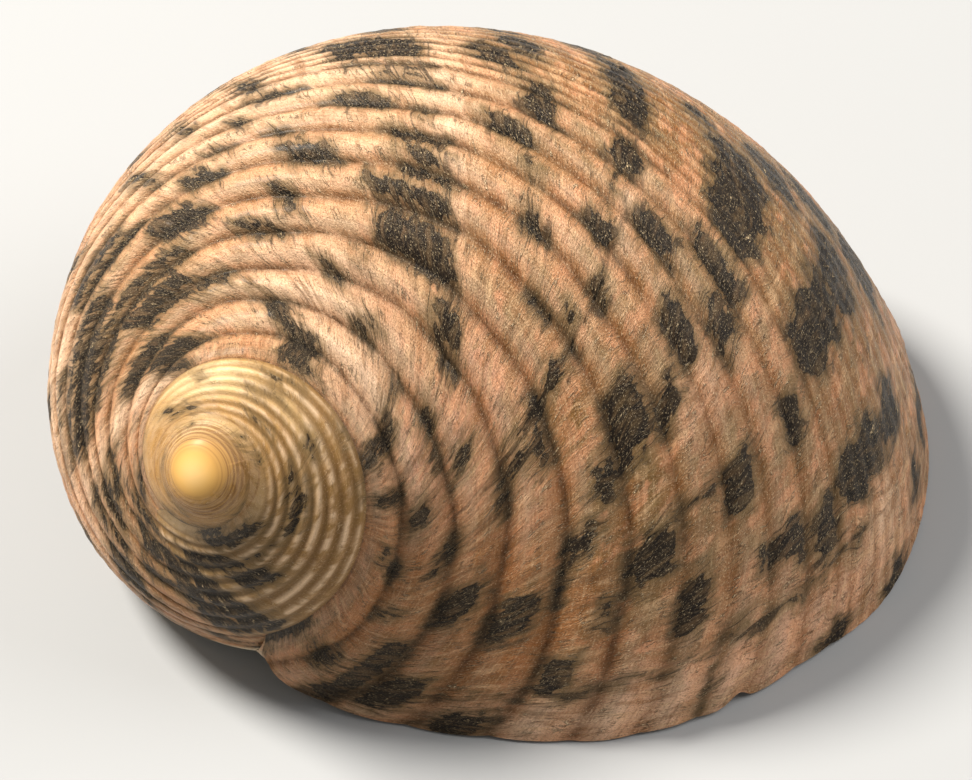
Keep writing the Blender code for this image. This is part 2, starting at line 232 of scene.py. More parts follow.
# Markings on the last turn: growth angle from and to in degrees, cord coordinate from and to in
# thousandths, ink in percent
MARK_UNITS = (1, 1, 1000, 1000, 100)
MARKS = scaled([
    # First mark: dark strip by the seam at the lip's start, painted shadow under the turn above, with real
    # dark streaks
    (-2, 19, -10, 32, 75), (15, 20, 60, 120, 50), (13, 22, 110, 150, 60), (57, 68, 60, 90, 60),
    (54, 61, 85, 125, 85), (87, 92.5, 20, 100, 95), (109, 117, 5, 130, 100), (113, 116, 130, 185, 70),
    (148, 163, 20, 160, 95), (155, 166, 150, 215, 85), (221, 238, 10, 125, 75), (203, 231, 105, 185, 80),
    # The mark from 292 to 303 degrees on the next line is partly painted shade, on the shaded lower left
    (292, 303, 40, 170, 75), (71, 81, 115, 165, 75), (39, 42, 125, 165, 75), (0, 31, 168, 212, 75),
    (51, 57, 178, 196, 80), (56, 61.5, 186, 216, 90), (85, 91, 180, 194, 75), (94, 101, 182, 208, 80),
    (4, 18, 215, 268, 70), (34, 45, 212, 264, 80), (76, 81.5, 212, 256, 80), (57, 66, 270, 290, 70),
    (92, 99, 264, 286, 75), (119, 127, 222, 246, 75), (125, 131, 196, 226, 75), (160, 165, 235, 262, 45),
    (206, 235, 192, 241, 95), (203, 209, 200, 236, 60), (286, 306, 205, 242, 90),
    (275, 288, 225, 242, 70), (-1, 7, 302, 360, 75), (25, 35, 286, 346, 82), (61, 66.5, 287, 334, 60),
    (57, 66, 338, 362, 85), (65, 69.5, 344, 384, 85), (91, 101, 290, 355, 55), (97, 102, 284, 312, 85),
    (165, 201, 262, 287, 95), (172, 201, 285, 345, 60), (190, 201, 275, 350, 90),
    (130.5, 134.5, 266, 320, 75), (251, 257, 250, 300, 80), (260, 269, 250, 312, 85),
    (140, 150, 346, 366, 85), (142, 151, 360, 396, 70), (119, 124, 332, 352, 35), (10, 18, 376, 412, 80),
    (29, 37, 360, 374, 70), (36, 41.5, 370, 412, 95), (22, 26, 421, 440, 80), (8.5, 10.5, 400, 440, 50),
    (43, 50, 412, 450, 85), (65.5, 70, 384, 436, 60), (74, 79.5, 437, 453, 80),
    (96.5, 115, 362, 436, 100), (170, 200, 345, 364, 95), (198, 228, 326, 362, 95),
    (165, 200, 362, 402, 60), (188, 206, 400, 440, 90), (200, 236, 366, 440, 100),
    (253, 273, 312, 372, 85), (249, 253, 372, 442, 70), (254, 273, 398, 440, 60),
    (132.5, 137, 392, 462, 75), (153.5, 167.5, 408, 482, 95), (186, 233, 440, 474, 80),
    (280, 301, 386, 440, 70), (25.5, 33, 449, 513, 95), (45, 57, 449, 506, 95),
    (68.5, 72.5, 460, 486, 70), (97.5, 115, 449, 487, 95), (97.5, 108, 499, 520, 95),
    (14.5, 23, 516, 556, 80), (44.5, 51, 512, 556, 75), (65.5, 69.5, 510, 546, 60),
    (79.5, 84, 505, 551, 75), (99, 107, 518, 556, 60), (32, 34, 516, 570, 60), (119.5, 130, 490, 536, 80),
    (144, 152, 490, 536, 85), (167, 190, 487, 512, 90), (168, 190, 510, 560, 65),
    (207, 233, 500, 516, 70), (126, 130.5, 542, 576, 70), (139.5, 143.5, 542, 582, 65),
    (259, 276, 450, 570, 80), (97.5, 108.5, 554, 577, 95), (26.5, 34, 577, 629, 75),
    (48, 57, 572, 616, 90), (67.5, 73, 572, 610, 85), (69, 71, 608, 632, 60), (81, 84.5, 590, 614, 40),
    (99.5, 103, 598, 630, 65), (107, 116.5, 612, 650, 85), (12, 13.5, 572, 620, 40),
    (17, 20.5, 620, 634, 75), (153.5, 157, 560, 700, 65), (132.5, 135.5, 602, 640, 60),
    (15.5, 20.5, 633, 690, 75), (13.5, 19, 676, 694, 80), (43.5, 50.5, 634, 676, 82),
    (57.5, 65.5, 632, 671, 88), (68.5, 70.5, 655, 700, 70), (83.5, 91, 628, 666, 88),
    (97.5, 107.5, 678, 692, 95), (120.5, 130, 660, 692, 75), (11.5, 19, 702, 750, 60),
    (27.5, 33.5, 686, 720, 85), (45.5, 56.5, 680, 722, 85), (65.5, 71.5, 692, 755, 60),
    (79.5, 84.5, 688, 770, 90), (98, 107, 696, 716, 70), (98, 112, 718, 736, 90),
    (125.5, 130, 690, 790, 70), (140.5, 143.5, 650, 770, 60), (14.5, 21, 752, 850, 88),
    (14, 20, 850, 915, 75), (30.5, 38.5, 742, 860, 95), (28.5, 37, 856, 935, 90),
    (46.5, 55.5, 742, 902, 100), (65.5, 71.5, 778, 935, 85), (84.5, 92, 775, 835, 80),
    # The last mark on the next line and the first on the line after are partly painted shade, by the spire
    (80.5, 87, 828, 905, 80), (98.5, 114, 752, 835, 85), (297, 309, 270, 600, 90),
    (283, 298, 250, 360, 80), (66.4, 68.6, 290, 460, 70), (32.2, 33.6, 450, 630, 45),
    (10.4, 11.2, 200, 800, 50), (40, 48, 902, 965, 75), (54.5, 58.5, 902, 940, 70),
    (24, 30, 955, 1020, 70), (-1, 2.5, 720, 775, 60), (-1, 2.5, 830, 880, 60), (3, 8, 905, 935, 45),
    (-1, 3, 35, 75, 40), (-1, 9, 575, 582, 40), (9.5, 11, 600, 720, 45),
], MARK_UNITS)

# The part of the last turn that the photo doesn't show is marked in the same style: growth angle and
# cord coordinate where that part starts, and the marks' spacing and sizes
HIDDEN_FROM = [
    (0, 0.95), (60, 0.95), (100, 0.84), (130, 0.79), (160, 0.72), (190, 0.58), (230, 0.57), (309, 0.60),
]
HIDDEN_TO = 1.28
HIDDEN_START = 8.0
HIDDEN_TURN = 300.0
HIDDEN_SPACING = 15.5
HIDDEN_BAND = 0.055
HIDDEN_SHARE = 0.62
HIDDEN_SEED = 11

# Markings on the spire, as on the last turn
SPIRE_MARKS = scaled([
    # The third to fifth marks, from 300 to 352 degrees at the spire's lower left, are partly painted shade
    (346, 372, -10, 100, 75), (350, 400, 90, 185, 95), (318, 352, 215, 300, 85), (330, 352, 300, 400, 80),
    (300, 322, 270, 600, 80), (380, 414, 275, 335, 80), (412, 429, 245, 292, 90),
    (352, 380, 260, 290, 50), (418, 428, 382, 402, 90), (449, 463, 420, 438, 80),
    (452, 463, 478, 492, 80), (466, 476, 368, 384, 70), (478, 487, 15, 50, 70), (459, 475, 70, 130, 50),
    (490, 498, 80, 115, 60), (458, 482, 242, 262, 60), (532, 549, 238, 262, 100),
    (540, 547, 262, 345, 70), (526, 536, 262, 300, 50), (498, 506, 445, 460, 60),
    (498, 505, 400, 415, 50), (438, 446, 500, 515, 70), (407, 417, 555, 575, 70),
    (380, 390, 575, 600, 60), (558, 568, 100, 130, 40), (616, 630, 120, 160, 35),
    (556, 564, 420, 440, 50), (572, 584, 425, 445, 40), (620, 672, 385, 420, 75),
    (670, 700, 400, 600, 75), (640, 662, 200, 260, 35), (700, 720, 330, 370, 50),
    (728, 742, 390, 430, 50),
], MARK_UNITS)

# Soft areas of tint: growth angle, cord coordinate in thousandths, spread in degrees, spread in
# thousandths, strength in percent
AREA_UNITS = (1, 1000, 1, 1000, 100)
PINK_AREAS = scaled([
    (5, 350, 6, 400, 90), (5, 850, 6, 250, 50), (80, 220, 16, 90, 90), (95, 150, 12, 60, 50),
    (55, 310, 18, 50, 50), (80, 400, 14, 60, 35), (240, 500, 20, 120, 50), (120, 250, 14, 50, 40),
    (86, 310, 10, 50, 70), (99, 130, 10, 50, 60), (208, 520, 20, 100, 60), (136, 760, 20, 80, 60),
    (44, 575, 6, 40, 70), (17, 630, 6, 50, 60), (14, 500, 5, 50, 50),
], AREA_UNITS)
OLIVE_AREAS = scaled([
    (55, 850, 45, 120, 75), (28, 600, 11, 140, 60), (62, 420, 9, 50, 70), (82, 420, 10, 40, 70),
    (92, 440, 5, 40, 50), (180, 330, 18, 100, 50), (205, 120, 10, 50, 70), (240, 420, 10, 60, 40),
    (60, 520, 10, 50, 40), (96, 330, 5, 50, 60), (45, 950, 40, 100, 50), (38, 450, 18, 70, 80),
    (20, 270, 22, 50, 40), (60, 385, 6, 35, 80), (42, 475, 6, 30, 60), (26, 375, 9, 40, 90),
    (16, 400, 8, 50, 50), (50, 150, 20, 40, 40), (30, 480, 14, 50, 50),
], AREA_UNITS)
# The orange areas at 30 degrees, by the lip, and at 290 degrees, on the lower left, are partly painted shade
ORANGE_AREAS = scaled([
    (30, 120, 28, 120, 90), (50, 250, 18, 60, 60), (70, 60, 22, 50, 60), (172, 50, 16, 70, 70),
    (215, 270, 14, 30, 70), (30, 350, 18, 50, 40), (130, 60, 10, 50, 30), (290, 400, 20, 300, 60),
    (26, 375, 10, 60, 100), (12, 300, 10, 60, 60), (60, 385, 7, 40, 40), (38, 290, 9, 40, 70),
    (58, 140, 10, 30, 80), (73, 20, 8, 30, 50),
], AREA_UNITS)
# The pale areas from 238 to 250 degrees, on the left edge, are partly painted light where the lamp falls
PALE_AREAS = scaled([
    (124, 140, 9, 80, 100), (133, 300, 22, 100, 60), (140, 620, 30, 120, 70), (238, 120, 10, 120, 100),
    (97, 620, 4, 200, 80), (66, 640, 2, 80, 60), (110, 700, 20, 60, 40), (210, 520, 14, 40, 90),
    (200, 600, 14, 60, 80), (248, 80, 10, 100, 50), (10, 830, 4, 30, 70), (245, 300, 5, 200, 50),
    (160, 160, 14, 50, 40), (115, 880, 12, 80, 60), (140, 120, 22, 70, 100), (4, 400, 4, 350, 30),
    (250, 460, 14, 120, 60), (150, 240, 24, 50, 70), (5, 850, 5, 120, 15), (210, 500, 18, 80, 90),
    (120, 790, 24, 70, 60), (245, 225, 8, 50, 70), (4, 460, 5, 150, 50), (44, 575, 4, 30, 40),
    (99, 120, 6, 40, 40), (101, 820, 5, 30, 50),
], AREA_UNITS)
# The areas at 440 and 497 degrees are partly painted highlight, where light falls on the spire's top
SPIRE_PALE_AND_HIGHLIGHT_AREAS = scaled([
    (497, 440, 30, 100, 100), (545, 80, 50, 100, 90), (520, 330, 40, 50, 50), (440, 400, 25, 60, 40),
    (325, 60, 22, 90, 60), (425, 90, 22, 70, 40),
], AREA_UNITS)


def smoothstep(x):
    x = np.clip(x, 0.0, 1.0)
    return x * x * (3.0 - 2.0 * x)


def spline(values):
    """Natural cubic spline through evenly spaced values, as a function of the cord coordinate."""
    y = np.asarray(values, dtype=float)
    count = len(y)
    lhs = np.eye(count)
    rhs = np.zeros(count)
    for i in range(1, count - 1):
        lhs[i, i - 1:i + 2] = (1.0, 4.0, 1.0)
        rhs[i] = 6.0 * (y[i - 1] - 2.0 * y[i] + y[i + 1])
    bend = np.linalg.solve(lhs, rhs)

    def value(cord):
        t = np.clip(np.asarray(cord, dtype=float) / KNOT_STEP, 0.0, count - 1.000001)
        i = t.astype(int)
        b = t - i
        a = 1.0 - b
        curve = (a ** 3 - a) * bend[i] + (b ** 3 - b) * bend[i + 1]
        return a * y[i] + b * y[i + 1] + curve / 6.0

    return value


def shrink(back):
    """Size of the growth edge that lies back radians before the lip."""
    return np.exp(-SHRINK * back + 0.5 * SHRINK_SLOWS * back ** 2)


def lip_splines():
    """The lip's three splines. The lip starts on the outside of the turn above it."""
    start = (6.0, -4.4, -85.0)
    for _ in range(6):
        points = [start] + LIP
        curves = [spline([p[k] for p in points]) for k in range(3)]
        size = shrink(LIP_START_BACK)
        start = (
            size * curves[0](LIP_START_CORD),
            size * curves[1](LIP_START_CORD),
            curves[2](LIP_START_CORD) + math.degrees(LIP_START_BACK) - 360.0,
        )
    return curves


DISTANCE, HEIGHT, TURN = lip_splines()
UP = AXIS / np.linalg.norm(AXIS)
SIDE = np.array([1.0, 0.0, 0.0]) - UP[0] * UP
SIDE = SIDE / np.linalg.norm(SIDE)
ACROSS = np.cross(UP, SIDE)


def turned(points, back):
    """Points carried back along the growth of the shell."""
    rel = points - APEX
    along = rel @ UP
    x = rel @ SIDE
    y = rel @ ACROSS
    c = math.cos(back)
    s = math.sin(back)
    moved = np.outer(c * x - s * y, SIDE) + np.outer(s * x + c * y, ACROSS) + np.outer(along, UP)
    return APEX + shrink(back) * moved


def surface(back, cord):
    """Smooth outer surface, without cords."""
    size = shrink(back)
    turn = np.radians(TURN(cord)) + back
    reach = size * DISTANCE(cord)
    down = np.hypot(size * HEIGHT(cord), APEX_ROUNDING)
    return (
        APEX
        + (reach * np.cos(turn))[..., None] * SIDE
        + (reach * np.sin(turn))[..., None] * ACROSS
        - down[..., None] * UP
    )


def rim_height(back):
    """Height of the deck's outer edge: just off the ground, on it, then rising to where the lip starts."""
    falls, ends = RIM_LIFT_ENDS
    lift = RIM_LIFT * smoothstep(back / RIM_LIFT_BY) * (1.0 - smoothstep((back - falls) / (ends - falls)))
    rise_share = max(0.0, (back - RIM_RISE_FROM) / (LIP_START_BACK - RIM_RISE_FROM))
    return lift + RIM_RISE * rise_share ** 2


def rim_cord(back):
    """Cord coordinate where the outside meets the deck's edge."""
    if back == 0.0:
        return FRONT_END_CORD
    cords = np.linspace(RIM_SEARCH_FROM, RIM_SEARCH_TO, RIM_SEARCH_POINTS)
    height = surface(np.full_like(cords, back), cords)[:, 2] - rim_height(back)
    widest = int(np.argmax(height[:RIM_WIDEST_WITHIN]))
    below = np.nonzero(height[widest:] < 0.0)[0]
    i = widest + int(below[0])
    if i == 0:
        return cords[0]
    share = height[i - 1] / (height[i - 1] - height[i])
    return cords[i - 1] + share * (cords[i] - cords[i - 1])


def suture_bend(back):
    """How far the growth lines sweep back next to the seam, in degrees."""
    deg = np.degrees(back)
    sweep = 28.0 * smoothstep((deg - 35.0) / 60.0) - 12.0 * smoothstep((deg - 115.0) / 30.0)
    return sweep + 20.0 * smoothstep((deg - 175.0) / 30.0)


def growth_degrees(back, cord):
    """Growth angle of the lip that a point belonged to, in degrees."""
    return np.degrees(back) + suture_bend(back) * np.clip(1.0 - cord / 0.2, 0.0, 1.0) ** 1.5


def waver(back, cord):
    """Slow wander of the cords, in cord coordinate."""
    deg = np.degrees(back)
    return 0.0024 * np.sin(deg / 9.0 + 14.0 * cord) + 0.0018 * np.sin(deg / 4.3 + 31.0 * cord + 1.7)


def groove_shift(back, cord):
    """How far the grooves have wandered from their first place, in cord coordinate."""
    deg = np.degrees(back)
    outer = smoothstep((cord - 0.30) / 0.15)
    sunk = 0.018 * smoothstep((deg - 88.0) / 40.0) + 0.030 * smoothstep((deg - 190.0) / 50.0)
    shift = 0.005 - outer * sunk
    inner = 1.0 - smoothstep((cord - 0.20) / 0.08)
    shift = shift + inner * 0.012 * np.cos(np.radians(2.4 * (deg - 25.0)))
    return shift * smoothstep(cord / 0.1) * smoothstep((300.0 - deg) / 40.0) * smoothstep((1.2 - cord) / 0.2)


def cord_edges():
    """Edges of all cords of the last turn in cord coordinate."""
    fine = GROOVES[-1] + FINE_CORD_WIDTH * (1.0 + np.arange(FINE_CORDS))
    return np.concatenate([GROOVES, fine])


EDGES = cord_edges()


def cord_profile(back, cord):
    """Place across the cord from 0 to 1, and the cord's width, on the last turn."""
    c = cord
    for _ in range(3):
        c = cord - groove_shift(back, c)
    c = np.clip(c + waver(back, c), 0.0, EDGES[-1] - 1e-6)
    k = np.clip(np.searchsorted(EDGES, c, side="right") - 1, 0, len(EDGES) - 2)
    width = EDGES[k + 1] - EDGES[k]
    return (c - EDGES[k]) / width, width


def soft_share(back, cord):
    """Share by which the outer cords lie lower, toward the lip."""
    return smoothstep((cord - 0.40) / 0.15) * smoothstep((80.0 - np.degrees(back)) / 55.0)


def broad_share(width):
    """How far a cord is a broad one, by its width."""
    return smoothstep((width - BROAD_FROM) / BROAD_BLEND)


def body_rise(back, cord):
    """Height of the cords and growth breaks above the smooth surface on the last turn."""
    share, width = cord_profile(back, cord)
    crown = 1.0 - np.abs(2.0 * share - 1.0) ** 2.2 - GROOVE_SHARE
    height = FINE_CORD_HEIGHT + (BROAD_CORD_HEIGHT - FINE_CORD_HEIGHT) * broad_share(width)
    height *= crown
    fade_from, fade_to = FINE_CORDS_FADE
    height *= 1.0 - smoothstep((cord - fade_from) / (fade_to - fade_from))
    deg = growth_degrees(back, cord)
    height *= 0.45 + 0.55 * smoothstep(deg / 14.0)
    height *= 1.0 - 0.38 * soft_share(back, cord)
    height *= 0.85 + 0.25 * np.sin(deg / 6.1 + 19.0 * cord) * np.sin(deg / 2.7 + 40.0 * cord)
    ragged = 0.35 * np.sin(cord * 58.0) + 0.25 * np.sin(cord * 131.0 + 2.0)
    steps = 0.0
    for place, step, fade in BREAKS:
        past = deg - place - ragged
        steps = steps + step * np.exp(-np.maximum(past, 0.0) / fade) * smoothstep(past / 0.35 + 0.5)
    ripple = 0.012 * np.sin(deg * 2.9 + 9.0 * cord) + 0.010 * np.sin(deg * 1.3 + 23.0 * cord)
    size = shrink(back)
    return size * (height + (steps - 0.08) * 0.8 + ripple) * np.clip(cord / 0.03, 0.0, 1.0)


def spire_phase(back, cord):
    drifted = cord + SPIRE_CORD_DRIFT * (np.degrees(back) - 340.0)
    return drifted / SPIRE_CORD_WIDTH - 0.27


def seen_cord(back, cord):
    """Cord coordinate on an older turn before the turn is drawn to the seam that covers its outer part."""
    covered = np.interp(np.degrees(back), SPIRE_COVER_AT, SPIRE_COVER)
    return cord - smoothstep(cord / LIP_START_CORD) * covered


def spire_fade(back, cord):
    """Share of the spire's cords: none next to the seam, and few on the oldest turns."""
    worn = 1.0 - 0.88 * smoothstep((np.degrees(back) - 455.0) / 110.0)
    return worn * smoothstep((cord - 0.08) / 0.14)


def spire_crown(back, cord):
    """Round top of each of the spire's cords, from 0 in its groove to 1."""
    return np.sin(math.pi * (spire_phase(back, cord) % 1.0)) ** 1.5


def spire_rise(back, cord):
    """Height of the fine cords of the older turns."""
    return SPIRE_CORD_HEIGHT * shrink(back) * (spire_crown(back, cord) - 0.5) * spire_fade(back, cord)


def spire_groove(back, cord):
    """Depth of the grooves between the spire's cords, from 0 to 1."""
    return 0.5 + spire_fade(back, cord) * (0.5 - spire_crown(back, cord))


def spire_share(back):
    return smoothstep((np.degrees(back) - 282.0) / 50.0)


def sheet_points(backs, cords):
    """Smooth points and outward normals on a grid of growth angles and cord coordinates."""
    points = surface(backs, cords)
    normal = -np.cross(np.gradient(points, axis=0), np.gradient(points, axis=1))
    length = np.linalg.norm(normal, axis=2)
    normal /= np.maximum(length, 1e-9)[..., None]
    return points, normal


def mark_field(marks, deg, cord, mm_per_degree, mm_per_cord):
    """Distance inside the nearest mark in millimetres, and that mark's ink."""
    field = np.full(deg.shape, -FIELD_REACH)
    ink = np.zeros(deg.shape)
    for start, end, low, high, dark in marks:
        half_along = 0.5 * (end - start) * mm_per_degree
        half_across = 0.5 * (high - low) * mm_per_cord
        corner = MARK_ROUNDING * np.minimum(half_along, half_across)
        along = np.minimum(deg - start, end - deg) * mm_per_degree - corner
        across = np.minimum(cord - low, high - cord) * mm_per_cord - corner
        outside = np.hypot(np.minimum(along, 0.0), np.minimum(across, 0.0))
        distance = corner - outside + np.maximum(np.minimum(along, across), 0.0)
        nearer = distance > field
        ink = np.where(nearer, dark, ink)
        field = np.maximum(field, distance)
    return np.clip(field, -FIELD_REACH, FIELD_DEPTH), ink


def area_weight(areas, deg, cord):
    total = np.zeros(deg.shape)
    for centre, middle, spread, width, strength in areas:
        away = ((deg - centre) / spread) ** 2 + ((cord - middle) / width) ** 2
        total += strength * np.exp(-away)
    return np.clip(total, 0.0, 1.0)


def hidden_marks():
    """Marks for the side that the photo doesn't show, with the same spacing and sizes."""
    draw = np.random.RandomState(HIDDEN_SEED)
    angles = [a for a, _ in HIDDEN_FROM]
    starts = [c for _, c in HIDDEN_FROM]
    found = []
    for k in range(int(HIDDEN_TURN / HIDDEN_SPACING)):
        centre = HIDDEN_START + k * HIDDEN_SPACING + draw.uniform(-2.5, 2.5)
        width = draw.uniform(4.0, 9.5)
        low = float(np.interp(centre, angles, starts)) + draw.uniform(0.0, 0.03)
        while low < HIDDEN_TO:
            high = low + HIDDEN_BAND * draw.uniform(0.6, 2.0)
            shift = draw.uniform(-3.0, 3.0)
            if draw.uniform() < HIDDEN_SHARE:
                ink = draw.uniform(0.6, 0.95)
                found.append((centre + shift - width / 2, centre + shift + width / 2, low, high, ink))
            low = high + draw.uniform(0.004, 0.03)
    return found


class Builder:
    """Collects grid points with their attributes, welds and faces, and makes one mesh."""

    NAMES = (
        "growth", "across", "blotch", "ink", "groove", "pink", "olive", "orange", "pale", "spire",
        "inside", "lee", "away",
    )

    def __init__(self):
        self.points = []
        self.values = []
        self.count = 0
        self.weld = {}
        self.faces = []

    def add(self, points, **values):
        """Adds an array of points and returns their numbers in the array's shape."""
        shape = points.shape[:-1]
        size = int(np.prod(shape))
        self.points.append(points.reshape(size, 3))
        block = np.zeros((size, len(self.NAMES)))
        for name, value in values.items():
            block[:, self.NAMES.index(name)] = np.broadcast_to(value, shape).reshape(size)
        self.values.append(block)
        ids = self.count + np.arange(size).reshape(shape)
        self.count += size
        return ids

    def join(self, moved, kept):
        """Makes one vertex of two points; the second keeps its place."""
        for a, b in zip(np.ravel(moved), np.ravel(kept)):
            self.weld[int(a)] = int(b)

    def quads(self, ids):
        """Faces over a grid of point numbers."""
        a = ids[:-1, :-1].ravel()
        b = ids[:-1, 1:].ravel()
        c = ids[1:, 1:].ravel()
        d = ids[1:, :-1].ravel()
        self.faces.append(np.stack([a, b, c, d], axis=1))

    def cap(self, loops, end):
        """Faces between closed loops of equal length, and from the last loop to one end point."""
        closed = [np.concatenate([loop, loop[:1]]) for loop in loops]
        self.quads(np.stack(closed))
        self.quads(np.stack([closed[-1], np.full(len(closed[0]), end)]))

    def zip_rows(self, first, first_places, second, second_places):
        """Faces between two rows of different lengths."""
        i = 0
        j = 0
        made = []
        while i < len(first) - 1 or j < len(second) - 1:
            next_i = first_places[i + 1] if i < len(first) - 1 else np.inf
            next_j = second_places[j + 1] if j < len(second) - 1 else np.inf
            if next_i <= next_j:
                made.append((first[i], first[i + 1], second[j], second[j]))
                i += 1
            else:
                made.append((first[i], second[j + 1], second[j], second[j]))
                j += 1
        self.faces.append(np.array(made))

    def mesh(self, name):
        points = np.concatenate(self.points)
        values = np.concatenate(self.values)
        target = np.arange(self.count)
        for a in sorted(self.weld):
            b = self.weld[a]
            while b in self.weld and self.weld[b] != b:
                b = self.weld[b]
            target[a] = b
        corners = []
        vertices = []
        sizes = []
        for face in np.concatenate(self.faces):
            kept = []
            for k in face:
                v = target[k]
                if v not in [w for w, _ in kept]:
                    kept.append((v, k))
            if len(kept) > 2:
                vertices.extend(v for v, _ in kept)
                corners.extend(k for _, k in kept)
                sizes.append(len(kept))
        used, order = np.unique(np.array(vertices), return_inverse=True)
        starts = np.concatenate([[0], np.cumsum(sizes)[:-1]])
        data = bpy.data.meshes.new(name)
        data.vertices.add(len(used))
        data.vertices.foreach_set("co", ((points[used] - CENTRE) * MM).ravel().astype(np.float32))
        data.loops.add(len(vertices))
        data.loops.foreach_set("vertex_index", order.ravel().astype(np.int32))
        data.polygons.add(len(sizes))
        data.polygons.foreach_set("loop_start", starts.astype(np.int32))
        data.update(calc_edges=True)
        at_corners = values[np.array(corners)]
        for k, label in enumerate(self.NAMES):
            layer = data.attributes.new(label, "FLOAT", "CORNER")
            layer.data.foreach_set("value", at_corners[:, k].astype(np.float32))
        data.validate()
        return data


def body_columns():
    """Growth angles of the last turn's columns, closer together near the lip and at the growth breaks."""
    extra = []
    for place, _, _ in BREAKS_WITH_COLUMNS:
        extra += [math.radians(place + gap) for gap in (-BREAK_COLUMN_GAP, 0.0, BREAK_COLUMN_GAP)]
    share = np.linspace(0.0, 1.0, COLUMNS_TO_SEAM + 1 - len(extra))
    backs = LIP_START_BACK * ((1.0 - LIP_CROWDING) * share + LIP_CROWDING * share ** 2)
    return np.sort(np.concatenate([backs, extra]))


def body_cords():
    """Cord coordinates of the last turn's rows, and which of them is the seam."""
    rows = []
    for low, high in zip(EDGES[:-1], EDGES[1:]):
        shares = ROWS_ACROSS_BROAD if high - low > BROAD_ROWS_FROM else ROWS_ACROSS_FINE
        rows += [low + s * (high - low) for s in shares]
    rows += list(np.arange(EDGES[-1], ROWS_END, BASE_ROW_STEP))
    rows = np.array(rows)
    seam_row = int(np.argmin(abs(rows - LIP_START_CORD)))
    rows[seam_row] = LIP_START_CORD
    return rows, seam_row


def scales(back, cord):
    """Millimetres per degree of growth and per unit of cord coordinate."""
    size = shrink(back)
    return size * np.interp(cord, MM_PER_DEGREE_AT, MM_PER_DEGREE), size * MM_PER_CORD


def across_mm(back, cord):
    """Place across the cords in millimetres."""
    return cord * MM_PER_CORD * np.sqrt(shrink(back))


def growth_mm(back):
    """Length grown since the point, near the middle of the lip, in millimetres."""
    return GROWTH_REACH * (1.0 - np.exp(-SHRINK * back)) / SHRINK


def axis_distance(points):
    """Distance from the coiling axis."""
    rel = points - APEX
    return np.linalg.norm(rel - (rel @ UP)[..., None] * UP, axis=-1)


def onto_nucleus(points, share):
    """Points drawn by share onto the smooth dome over the oldest turn, along the coiling axis."""
    along = (points - APEX) @ UP
    from_axis = axis_distance(points)
    top = NUCLEUS_TOP - NUCLEUS_FALL * from_axis ** 2
    near = 1.0 - smoothstep((from_axis - NUCLEUS_REACH) / NUCLEUS_BLEND)
    return points + (share * near * (top - along))[..., None] * UP


def gold_share(away):
    """Share of the golden tint, by distance from the coiling axis in millimetres."""
    return 1.0 - smoothstep((away - GOLD_REACH) / GOLD_BLEND)


def body_points(back, cord, full_cord, ends):
    """Points of the last turn with their cords, no lower than the ground."""
    _, normal = sheet_points(back, full_cord)
    spire = spire_share(back)
    rise = body_rise(back, cord) * (1.0 - spire)
    edge = np.clip((LIP_START_CORD - cord) / SEAM_FADE, 0.0, 1.0)
    rise += np.where(cord < LIP_START_CORD, spire * spire_rise(back, cord) * edge, 0.0)
    rise *= smoothstep((ends[:, None] - cord) / RIM_FADE)
    rise[0] *= LIP_EDGE_RISE
    points = surface(back, cord) + rise[..., None] * normal
    points[..., 2] = np.maximum(points[..., 2], 0.0)
    return points


def scalloped(points, rows, back, cord):
    """The lip's edge draws back a little between the cords, and at one chip. Angles are in degrees."""
    share, width = cord_profile(back[0], cord[0])
    notch = np.abs(2.0 * share - 1.0) ** 2.0 * np.minimum(width / SCALLOP_FULL_WIDTH, 1.0)
    taper = smoothstep(rows / 0.15) * smoothstep((1.05 - rows) / 0.1)
    drawn = SCALLOP * notch * taper + SCALLOP_WANDER * (1.0 + np.sin(rows * 37.0)) * taper
    drawn += CHIP * np.exp(-((rows - CHIP_AT) / CHIP_WIDTH) ** 2)
    near_lip = 1.0 - np.clip(np.degrees(back[:, :1]) / SCALLOP_REACH, 0.0, 1.0)
    pulled_back = near_lip ** 2 * np.radians(drawn)[None, :]
    moved = surface(back + pulled_back, cord) - surface(back, cord)
    moved[..., 2] = np.where(points[..., 2] + moved[..., 2] < 0.0, -points[..., 2], moved[..., 2])
    return points + moved


